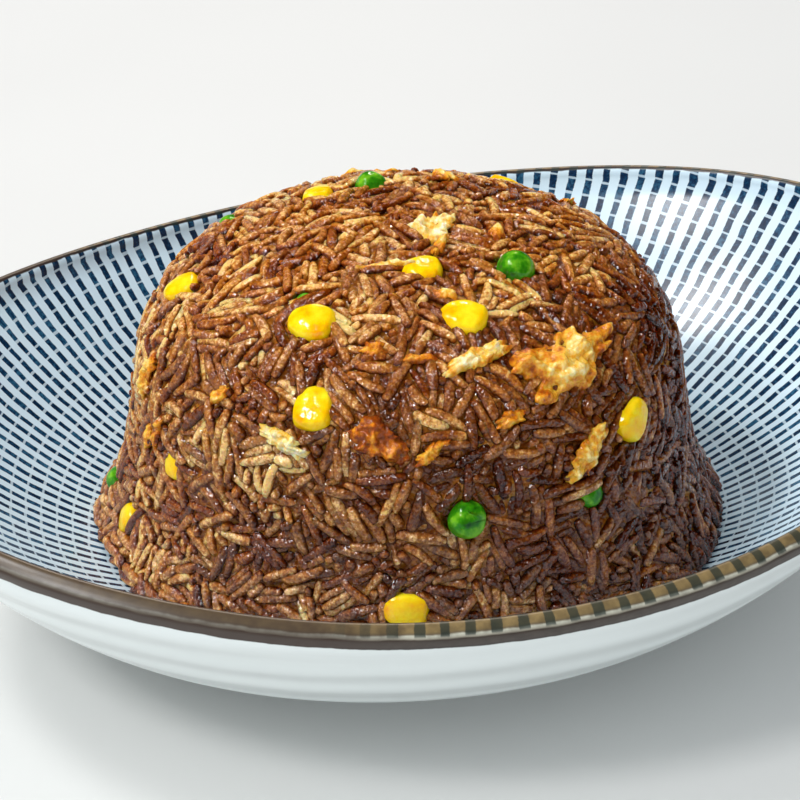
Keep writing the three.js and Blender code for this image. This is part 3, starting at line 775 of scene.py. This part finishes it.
def blurred(tops, downs):
    """Smooths the net of depths over FILM_BLUR millimetres, round the mound and down it."""
    waves = np.fft.fftfreq(FILM_STEPS) * FULL_TURN
    reach = np.maximum(np.interp(downs, DOWN, REACH), 0.3)
    cells = np.minimum(FILM_BLUR * FILM_STEPS / (FULL_TURN * reach), 200.0)
    fade = np.exp(-0.5 * (waves[None, :] * cells[:, None]) ** 2)
    tops = np.fft.ifft(np.fft.fft(tops, axis=1) * fade, axis=1).real
    spacing = downs[1] - downs[0]
    offsets = np.arange(-3, 4)
    weights = np.exp(-0.5 * (offsets * spacing / FILM_BLUR) ** 2)
    padded = np.pad(tops, ((3, 3), (0, 0)), mode="edge")
    rows = [weight * padded[3 + k:3 + k + len(downs)] for k, weight in zip(offsets, weights)]
    return sum(rows) / weights.sum()


def film_net(pieces):
    """Places of the sauce film over the whole mound: a row for each distance down it."""
    bearings = np.arange(FILM_STEPS) * FULL_TURN / FILM_STEPS
    downs = np.linspace(0.01, DOWN[-1], FILM_ROWS)
    sinks = blurred(grain_tops(pieces, bearings, downs), downs) + FILM_SINK
    net = []
    for down, sink in zip(downs, sinks):
        spots, outwards, _, _ = skin_frame(bearings, np.full(FILM_STEPS, down))
        swing = np.array([FILM_SWING * noise.noise(Vector(spot) / 8.0) for spot in spots])
        net.append(spots - outwards * (sink + swing)[:, None])
    return np.array(net)


def make_core(pieces, material):
    """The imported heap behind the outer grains, with the sauce that clings between them: its
    skin follows the grains' tops, smoothed and a little lower."""
    net = film_net(pieces)
    bm = spun_rings(FILM_ROWS + len(CORE_UNDER), FILM_STEPS)
    middle = np.array([MOUND_X, MOUND_Y])
    for vertex in bm.verts:
        row, step = row_and_step(vertex, FILM_STEPS)
        x, y, z = net[min(row, FILM_ROWS - 1), step]
        if row >= FILM_ROWS:
            x, y = middle + (net[-1, step, :2] - middle) * CORE_UNDER[row - FILM_ROWS]
            z = 0.0
        vertex.co = (x, y, max(z, float(inside_height(x, y)) + CORE_CLEARANCE))
    bmesh.ops.recalc_face_normals(bm, faces=bm.faces)
    finish_piece("packed_core", bm, material, ["rice"])


def clinging_sauce():
    """Oily soy between the grains, from near black where it pools to amber where it is thin."""
    g = Finish("clinging_sauce", roughness=0.4, specular_ior_level=0.0, subsurface_weight=0.9,
               subsurface_scale=0.002, subsurface_radius=(1.0, 0.4, 0.1), coat_weight=0.9,
               coat_roughness=0.1, coat_ior=1.7)
    mottle = g.times(g.cloud(0.7, 5.0, 0.65), 0.5)
    mottle = g.calc("MULTIPLY_ADD", g.cloud(0.16, 2.0), 0.5, mottle)
    g.set(base_color=g.ramp(mottle, (0.36, "#481a04"), (0.46, "#6c3208"), (0.55, "#965614"),
                            (0.66, "#b87a2c")))
    g.wrinkle((0.5, 1.0, 1.2, 0.9), (1.3, 1.0, 0.5, 1.0))
    return g.material


# ---- toppings

CORN_PLACES = (
    # node number, bearing, down, heading, lean, depth, size
    (1, 163, 44.7, 80, 10, 1.5, 0.9),
    (2, -143.5, 34.4, 12, 0, 1.1, 1.04),
    (3, -134, 50.6, -85, -18, 1.4, 1.0),
    (4, -168.5, 71, -80, -10, 1.6, 0.74),
    (5, -104, 17.2, -15, -5, 1.4, 0.9),
    (6, -94.3, 31.6, -40, -8, 1.2, 1.02),
    (7, -60.5, 61.8, -144, 0, 0.9, 0.98),
    (8, -114, 87, -10, 0, 1.6, 0.98),
    (9, 109, 25.3, 40, 0, 1.2, 0.8),
    (10, 172, 91.5, 70, 0, 1.8, 0.8),
    (11, 40, 47, 20, -6, 1.0, 1.0),
    (12, 62, 59, 75, -5, 1.0, 1.03),
    (13, 4, 71, -35, 0, 1.2, 0.95),
    (14, 92, 80, 10, -8, 1.3, 0.98),
    (15, 128, 64, 50, 0, 1.5, 0.92),
    (16, 8, 54, -60, -6, 1.3, 0.93),
)

PEA_PLACES = (
    # node number, bearing, down, depth, size, share cut off
    (1, -59, 24.8, 0.7, 1.0, 0.0),
    (2, -101.8, 70.4, 0.6, 1.02, 0.35),
    (3, -73.5, 72.6, 2.9, 0.9, 0.0),
    (4, 84, 23.2, 1.4, 0.95, 0.0),
    (5, 126, 42, 2.6, 0.85, 0.0),
    (6, 157, 91.5, 1.8, 0.85, 0.0),
    (7, -153, 28.5, 3.4, 0.8, 0.0),
    (8, 40, 82, 0.9, 1.0, 0.4),
    (9, 66, 77, 1.2, 0.95, 0.0),
    (10, 104, 54, 1.0, 1.0, 0.0),
    (11, 10, 86, 1.4, 0.9, 0.0),
)

EGG_PLACES = (
    # node number, bearing, down, heading, length, width, height, lobes, how browned
    (1, -73.5, 46, 5, 22, 11.5, 3.0, 3, 0.3),
    (2, -94.5, 41.2, 18, 12.5, 4.4, 2.0, 2, 0.15),
    (3, -74.8, 63.5, 50, 11.5, 5.0, 2.4, 2, 0.15),
    (4, 175, 60, 80, 11.5, 3.6, 1.6, 2, 0.25),
    (5, 179.4, 70.5, 84, 5.5, 3.4, 1.4, 2, 0.3),
    (6, -91, 53.2, 4, 6.6, 2.8, 1.4, 2, 0.45),
    (7, -108.5, 57.4, 30, 6.4, 3.0, 1.4, 2, 0.6),
    (8, -119.2, 55.3, -28, 11.5, 7.2, 2.0, 3, 0.85),
    (9, -60, 5.6, 15, 10.5, 8.4, 2.4, 3, -0.15),
    (10, -139, 57.8, -14, 11.5, 3.8, 1.8, 2, -0.3),
    (11, -121.9, 38.3, 0, 5.4, 3.0, 1.4, 2, 0.5),
    (12, 51, 24.5, 20, 7.0, 4.4, 1.6, 2, 0.5),
    (13, 78, 43, -25, 15, 9.5, 1.2, 3, 0.3),
    (14, 33, 67, 35, 11, 5.5, 2.0, 2, 0.2),
    (15, 144, 77, 65, 11, 5.0, 1.8, 2, 0.2),
    (16, 26, 84, 70, 9, 5.0, 1.8, 3, 0.5),
)

EGG_BITS = (
    # bearing, down, heading, length, width, how browned
    (-109.6, 40.1, 10, 5.5, 2.6, 0.6),
    (-35.9, 17.1, 25, 6.0, 3.2, 0.45),
    (48.8, 25.3, 0, 6.5, 3.4, 0.4),
    (-156.8, 53.1, 60, 5.0, 2.4, 0.5),
    (-125.9, 17.0, 8, 9.5, 2.2, 0.3),
    (-174.3, 66.9, 75, 6.0, 2.6, 0.6),
    (-84.0, 12.0, 40, 6.0, 3.0, 0.55),
    (-98.0, 26.0, -20, 5.4, 2.4, 0.5),
    (96.0, 62.0, 15, 7.0, 3.2, 0.35),
    (20.0, 45.0, -60, 6.0, 2.8, 0.45),
)

KERNEL_HALVES = Vector((4.7, 4.1, 2.8))  # of its length, width and height
KERNEL_SWELL = 1.04  # makes up for the smoothing
KERNEL_BALLS = ((1.6, 2.3), (-1.8, 1.5))  # place along a kernel, and radius
PEA_RADIUS = 3.45
PEA_BALL = 3.0
FLAKE_THICKNESS = 0.8
RUFFLE_WAVES = ((0.9, 0.26), (0.7, 0.55), (0.35, 1.3))  # height, and waves to a millimetre
BIT_HEIGHT = 1.5


def skin_matrix(bearing, down, heading=0.0, lean=0.0, depth=0.0):
    """Stands a local shape on the skin: its x follows the heading, its z points out."""
    point, outward, along, downhill = skin_frame(np.radians(bearing), np.array(float(down)), -depth)
    basis = Matrix((Vector(along), Vector(-downhill), Vector(outward))).transposed().to_4x4()
    basis.translation = Vector(point)
    heading_turn = Matrix.Rotation(math.radians(heading), 4, "Z")
    return basis @ heading_turn @ Matrix.Rotation(math.radians(lean), 4, "Y")


def kernel_point(cube_point):
    """Where a point on a cube of two units comes to lie on a kernel."""
    p = cube_point.normalized().lerp(cube_point * 0.8, 0.35)
    narrow = 1.0 - 0.5 * max(-p.x, 0.0) ** 1.3
    dimple = 0.1 * math.exp(-((p.x - 0.25) ** 2 + p.y ** 2) / 0.12) * (p.z > 0)
    height = p.z * (0.7 + 0.3 * narrow) - dimple
    return KERNEL_HALVES * Vector((p.x, p.y * narrow, height))


def make_kernel(number, bearing, down, heading, lean, depth, size, material):
    """A corn kernel: a rounded tooth with a broad dimpled crown and a narrow root."""
    bm = bmesh.new()
    bmesh.ops.create_cube(bm, size=1.0)
    bmesh.ops.subdivide_edges(bm, edges=bm.edges, cuts=5, use_grid_fill=True)
    for vertex in bm.verts:
        vertex.co = kernel_point(vertex.co * 2)
    bmesh.ops.smooth_vert(bm, verts=bm.verts, factor=0.5, use_axis_x=True, use_axis_y=True,
                          use_axis_z=True)
    wobble = Vector((number * 3.1, 0, 0))
    for vertex in bm.verts:
        vertex.co *= KERNEL_SWELL * size * (1 + 0.07 * noise.noise(vertex.co * 0.35 + wobble))
    place = skin_matrix(bearing, down, heading, lean, depth)
    bmesh.ops.transform(bm, matrix=place, verts=bm.verts)
    name, node = f"corn_kernel_{number}", f"corn_{number}"
    round_off(finish_piece(name, bm, material, [node]))


def make_pea(number, bearing, down, depth, size, cut_off, material):
    """A pea, a little dented. A cut one has lost the share of its radius that faces out."""
    bm = bmesh.new()
    radius = PEA_RADIUS * size
    bmesh.ops.create_icosphere(bm, subdivisions=4, radius=radius)
    wobble = Vector((0, number * 2.7, 0))
    for vertex in bm.verts:
        vertex.co *= 1 + 0.07 * noise.noise(vertex.co * 0.3 + wobble)
    if cut_off:
        facing = Vector((0.25, -0.35, 1.0)).normalized()
        bmesh.ops.bisect_plane(bm, geom=bm.verts[:] + bm.edges[:] + bm.faces[:], clear_outer=True,
                               plane_co=facing * radius * (1 - cut_off), plane_no=facing)
        open_edges = [edge for edge in bm.edges if edge.is_boundary]
        cap = bmesh.ops.holes_fill(bm, edges=open_edges)["faces"]
        bmesh.ops.inset_region(bm, faces=cap, thickness=0.5, depth=0.25)
        bmesh.ops.triangulate(bm, faces=cap)
    place = skin_matrix(bearing, down, 40 * number, 0, depth)
    bmesh.ops.transform(bm, matrix=place, verts=bm.verts)
    finish_piece(f"pea_{number}_skin", bm, material, [f"pea_{number}"])


def flake_edge(angle, seed, lobes):
    """How far a flake's torn edge stands out at an angle, as a share of an oval's."""
    rim = Vector((math.cos(angle), math.sin(angle), seed))
    lobe = 1 + 0.17 * math.sin(lobes * angle + seed) + 0.1 * math.sin(5 * angle + 2 * seed)
    return lobe + 0.22 * noise.noise(rim * 2.2) + 0.2 * noise.noise(rim * 6.0)


def flake_mesh(seed, bearing, down, heading, length, width, height, lobes):
    """A torn, ruffled flake of egg that drapes over the grains. Returns it with how far out each
    vertex lies from the flake's middle, from 0 to 1, and how high its ruffle stands."""
    bm = bmesh.new()
    bmesh.ops.create_grid(bm, x_segments=34, y_segments=24, size=1.0)
    turn = math.radians(heading)
    start, _, along, downhill = skin_frame(np.radians(bearing), np.array(float(down)))
    shares, ruffles = [], []
    for vertex in bm.verts:
        x, y = vertex.co.x, vertex.co.y
        share = max(abs(x), abs(y))
        angle = math.atan2(y, x)
        reach = 0.5 * share * flake_edge(angle, seed, lobes)
        u, v = length * reach * math.cos(angle), width * reach * math.sin(angle)
        at = start + along * (u * math.cos(turn) - v * math.sin(turn))
        at = at + downhill * (-u * math.sin(turn) - v * math.cos(turn))
        depth, out = skin.look(at[None, :])
        spot = Vector((u, v, seed * 5.0))
        ruffle = sum(size * noise.noise(spot * waves) for size, waves in RUFFLE_WAVES)
        lift = height * (0.5 - 0.6 * share ** 4 + 0.85 * ruffle)
        vertex.co = Vector(at + out[0] * (depth[0] + lift))
        shares.append(share)
        ruffles.append(ruffle)
    bmesh.ops.recalc_face_normals(bm, faces=bm.faces)
    return bm, shares, ruffles


def make_flake(name, seed, place, height, lobes, browned, material, node):
    """Thickens a flake into a piece, with what its finish reads."""
    bm, shares, ruffles = flake_mesh(seed, *place, height, lobes)
    bmesh.ops.solidify(bm, geom=bm.faces, thickness=FLAKE_THICKNESS)
    piece = finish_piece(name, bm, material, [node])
    add_values(piece, "browned", [browned] * len(piece.data.vertices))
    sides = len(piece.data.vertices) // len(shares)
    add_values(piece, "edge", shares * sides)
    add_values(piece, "ruffle", ruffles * sides)
    round_off(piece)


def corn_skin():
    """Cooked corn, from amber to clear yellow."""
    g = Finish("corn_skin", roughness=0.3, specular_ior_level=0.0, subsurface_weight=0.5,
               subsurface_scale=0.002, subsurface_radius=(1.0, 0.6, 0.08), coat_weight=0.8,
               coat_roughness=0.14, coat_ior=1.6)
    g.set(base_color=g.ramp(g.cloud(0.35), (0.3, "#f8a400"), (0.45, "#ffc400"), (0.7, "#ffdc20")))
    g.wrinkle((0.4, 2.0, 0.9, 0.5))
    return g.material


def pea_skin():
    """Cooked pea, from deep to light green."""
    g = Finish("pea_skin", roughness=0.3, specular_ior_level=0.0, subsurface_weight=0.3,
               subsurface_scale=0.0015, coat_weight=0.7, coat_roughness=0.12, coat_ior=1.6)
    g.set(base_color=g.ramp(g.cloud(0.45), (0.3, "#165206"), (0.5, "#34840a"), (0.72, "#7cbc24")))
    g.wrinkle((0.45, 2.0, 0.8, 0.5))
    return g.material


def fried_egg():
    """Cream where it is thick, yellow to amber over it, fried brown along the edges."""
    g = Finish("fried_egg", roughness=0.4, specular_ior_level=0.0, subsurface_weight=0.5,
               subsurface_scale=0.0016, coat_weight=0.7, coat_roughness=0.12, coat_ior=1.7)
    browned, edge, ruffle = (g.value_of(name) for name in ("browned", "edge", "ruffle"))
    tone = g.calc("ADD", browned, g.spread(g.cloud(0.24, 3.0, 0.6), 0.3, 0.7, -0.35, 0.6))
    speckle = g.spread(g.cloud(0.9, 4.0, 0.65), 0.35, 0.65, -0.5, 0.5)
    tone = g.calc("MULTIPLY_ADD", speckle, 0.5, tone)
    tone = g.calc("ADD", tone, g.spread(edge, 0.55, 1.0, 0.0, 0.45))
    tone = g.calc("SUBTRACT", tone, g.spread(ruffle, 0.0, 0.6, 0.0, 0.4))
    tone = g.spread(tone, -0.6, 1.6)
    g.set(base_color=g.ramp(tone, (0.05, "#fbf0d2"), (0.25, "#f6d98e"), (0.42, "#eeb43c"),
                            (0.58, "#d98418"), (0.75, "#9c4a0c"), (1.0, "#5a2208")))
    g.wrinkle((0.5, 2.0, 1.0, 0.8), (1.3, 2.0, 0.5, 0.9))
    return g.material


def make_toppings():
    """Every kernel, pea and flake, and the bits of egg that belong to the rice."""
    corn, pea, egg = corn_skin(), pea_skin(), fried_egg()
    for place in CORN_PLACES:
        make_kernel(*place, corn)
    for place in PEA_PLACES:
        make_pea(*place, pea)
    for number, *place, height, lobes, browned in EGG_PLACES:
        name, node = f"egg_flake_{number}", f"egg_{number}"
        make_flake(name, number, place, height, lobes, browned, egg, node)
    for number, (*place, browned) in enumerate(EGG_BITS, 1):
        make_flake(f"egg_bit_{number}", number + 20, place, BIT_HEIGHT, 2, browned, egg, "rice")


def topping_balls():
    """Balls that stand for corn and peas while the grains settle round them."""
    balls = []
    for _, bearing, down, heading, lean, depth, size in CORN_PLACES:
        matrix = skin_matrix(bearing, down, heading, lean, depth)
        for x, radius in KERNEL_BALLS:
            balls.append((np.array(matrix @ Vector((x * size, 0, 0))), radius * size))
    for _, bearing, down, depth, size, _ in PEA_PLACES:
        centre = skin_matrix(bearing, down, 0, 0, depth).translation
        balls.append((np.array(centre), PEA_BALL * size))
    return balls


# ---- floor, light, camera

LAMP_AIM = Vector((0, 0, 0.04))
CAMERA_PLACE = Vector((-0.19762, -0.46079, 0.31782))
CAMERA_AIM = Vector((-0.00511, -0.00034, 0.03896))
CAMERA_TILT = -0.887  # degrees


def make_floor():
    """A wide pale floor under the dish, in metres."""
    g = Finish("pale_floor", roughness=0.5)
    g.set(base_color=g.ramp(g.cloud(0.004, 3.0), (0.3, "#d6d6d4"), (0.7, "#dcdcda")))
    bm = bmesh.new()
    bmesh.ops.create_grid(bm, x_segments=1, y_segments=1, size=3.0)
    floor = put_in_scene("floor", bm, g.material)


def add_lamp(name, place, size, power, colour="#ffffff", in_gloss=False):
    """A flat rectangle of light, turned to the middle of the mound."""
    lamp = bpy.data.lights.new(name, "AREA")
    lamp.shape = "RECTANGLE"
    lamp.size, lamp.size_y = size
    lamp.energy = power
    lamp.color = paint(colour)[:3]
    holder = bpy.data.objects.new(name, lamp)
    holder.location = place
    holder.rotation_euler = (LAMP_AIM - Vector(place)).to_track_quat("-Z", "Y").to_euler()
    holder.visible_glossy = in_gloss
    bpy.context.scene.collection.objects.link(holder)


def light_studio():
    """Even light with a softbox, a fill and three windows. Only the windows show in the gloss,
    so that dark sauce and blue dashes keep their colour."""
    world = bpy.data.worlds.new("studio")
    world.use_nodes = True
    sky = world.node_tree.nodes["Background"]
    sky.inputs["Color"].default_value = paint("#e6ecf2")
    sky.inputs["Strength"].default_value = 0.68
    world.cycles_visibility.glossy = False
    bpy.context.scene.world = world
    add_lamp("softbox", (-1.1, 0.0, 1.6), (2.0, 1.5), 7, "#fff9f0")
    add_lamp("window", (-1.2, -0.3, 1.43), (0.38, 0.28), 12, in_gloss=True)
    add_lamp("skylight", (-0.87, 0.42, 1.63), (0.38, 0.28), 12, in_gloss=True)
    add_lamp("far_window", (0.5, 1.3, 1.15), (0.3, 0.2), 5.5, "#fff2e6", in_gloss=True)
    add_lamp("fill", (-0.5, -1.7, 0.8), (1.6, 1.0), 6)


def place_camera():
    """A long lens from the front left and above, tilted a little."""
    lens = bpy.data.cameras.new("camera")
    lens.sensor_width = 36
    lens.lens = 135
    lens.clip_start = 0.05
    lens.clip_end = 20
    camera = bpy.data.objects.new("camera", lens)
    turn = (CAMERA_AIM - CAMERA_PLACE).to_track_quat("-Z", "Y").to_matrix()
    tilt = Matrix.Rotation(math.radians(CAMERA_TILT), 3, "Z")
    camera.rotation_euler = (turn @ tilt).to_euler()
    camera.location = CAMERA_PLACE
    bpy.context.scene.collection.objects.link(camera)
    bpy.context.scene.camera = camera


place_camera()
light_studio()
make_floor()
make_dish(glazed_porcelain())
rice_pieces = make_rice(fried_rice(), topping_balls())
make_core(rice_pieces, clinging_sauce())
make_toppings()
bpy.context.scene.view_settings.view_transform = "Standard"
